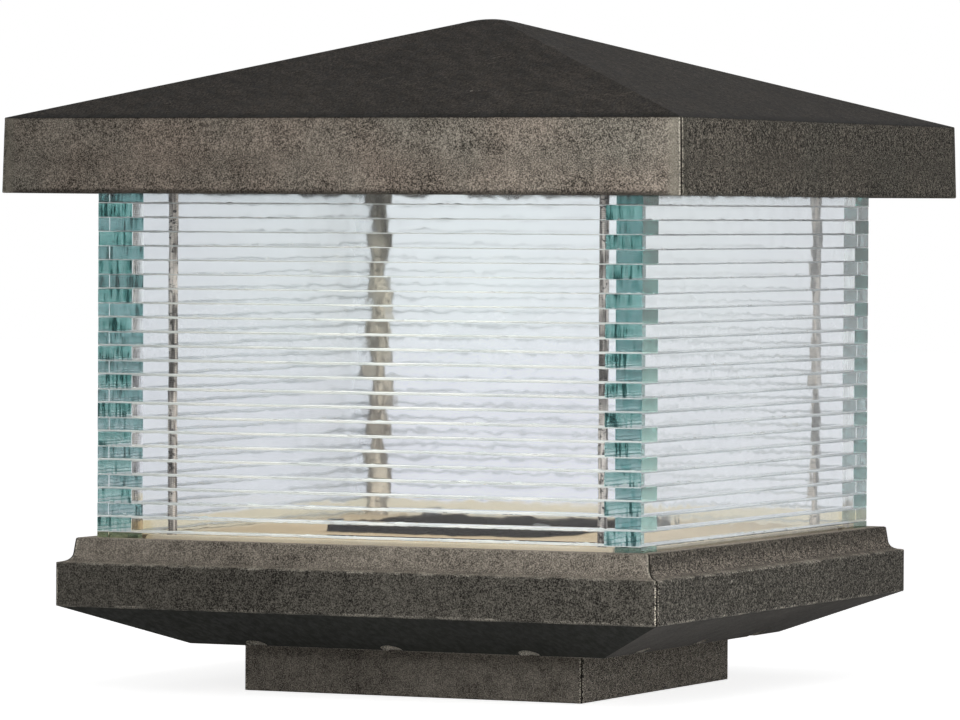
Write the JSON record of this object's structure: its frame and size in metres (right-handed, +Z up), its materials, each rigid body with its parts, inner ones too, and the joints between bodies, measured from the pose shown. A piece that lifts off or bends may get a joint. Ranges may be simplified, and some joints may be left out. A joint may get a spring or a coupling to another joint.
{
  "type": "outdoor post light",
  "caption": "Square post lantern: hip roof over walls of stacked glass strips, lamps under the roof, moulded base on a square post foot.",
  "frame": {"origin": "Middle of the foot's underside, on the post's end", "axes": "+Z up, out of the post; the front wall of glass faces -Y and the lamp pipe stands in the -X +Y corner"},
  "size_m": [0.3048, 0.3048, 0.2815],
  "materials": {
    "cast_resin": "dark brown cast resin with a fine pale speckle",
    "glass_strip": "clear float glass strips, polished faces, sea-green ends",
    "floor_paint": "cream paint",
    "dark_plate": "dark brown paint",
    "white_enamel": "white reflector enamel",
    "zinc_steel": "zinc-plated steel",
    "brass": "plain brass",
    "gasket": "black closed-cell rubber",
    "black_plastic": "black moulded plastic",
    "lamp_glass": "clear lamp glass",
    "filament": "filament on a glass stem",
    "black_insulation": "black wire insulation",
    "white_insulation": "white wire insulation",
    "green_insulation": "green wire insulation",
    "connector_plastic": "orange moulded plastic"
  },
  "bodies": {
    "lantern": {"top_plate": "dark_plate", "roof_screws": "zinc_steel", "top_gasket": "gasket", "rod_washers": "zinc_steel", "rod_nuts": "zinc_steel", "tie_rods": "zinc_steel", "rod_inserts": "brass", "lamp_pipe": "zinc_steel", "pipe_nuts": "zinc_steel", "pipe_bushings": "black_plastic", "lamp_bridge": "zinc_steel", "bridge_screws": "zinc_steel", "cluster_hub": "white_enamel", "hub_cover": "white_enamel", "hub_bolt": "zinc_steel", "hub_nut": "zinc_steel", "lampholders": "black_plastic", "holder_shells": "brass", "holder_contacts": "brass", "line_lead": "black_insulation", "neutral_lead": "white_insulation", "earth_lead": "green_insulation", "earth_terminal": "brass", "earth_screws": "zinc_steel", "wire_connectors": "connector_plastic", "front_glass": "glass_strip", "back_glass": "glass_strip", "left_glass": "glass_strip", "right_glass": "glass_strip", "bottom_gasket": "gasket", "floor_pan": "floor_paint", "base_housing": "cast_resin", "post_foot": "cast_resin", "foot_screws": "zinc_steel", "post_plate": "zinc_steel", "clamp_bar": "zinc_steel", "post_nipple": "zinc_steel", "nipple_washer": "zinc_steel", "nipple_nuts": "zinc_steel"},
    "roof": {"roof_cap": "cast_resin", "roof_inserts": "brass", "reflector": "white_enamel", "reflector_screws": "zinc_steel"},
    "cover": {"access_cover": "black_plastic", "cover_screws": "zinc_steel"},
    "lamp_1": {"lamp_1_cap": "brass", "lamp_1_glass": "lamp_glass", "lamp_1_filament": "filament"},
    "lamp_2": {"lamp_2_cap": "brass", "lamp_2_glass": "lamp_glass", "lamp_2_filament": "filament"},
    "lamp_3": {"lamp_3_cap": "brass", "lamp_3_glass": "lamp_glass", "lamp_3_filament": "filament"}
  },
  "joints": [
    {"name": "roof_lift", "type": "slide", "parent": "lantern", "child": "roof", "axis": [0, 0, 1], "range_m": [0, 0.12]},
    {"name": "cover_lift", "type": "slide", "parent": "lantern", "child": "cover", "axis": [0, 0, 1], "range_m": [0, 0.1]},
    {"name": "lamp_1_out", "type": "slide", "parent": "lantern", "child": "lamp_1", "axis": [0, 1, 0], "range_m": [0, 0.014]},
    {"name": "lamp_2_out", "type": "slide", "parent": "lantern", "child": "lamp_2", "axis": [-0.866, -0.5, 0], "range_m": [0, 0.014]},
    {"name": "lamp_3_out", "type": "slide", "parent": "lantern", "child": "lamp_3", "axis": [0.866, -0.5, 0], "range_m": [0, 0.014]}
  ]
}
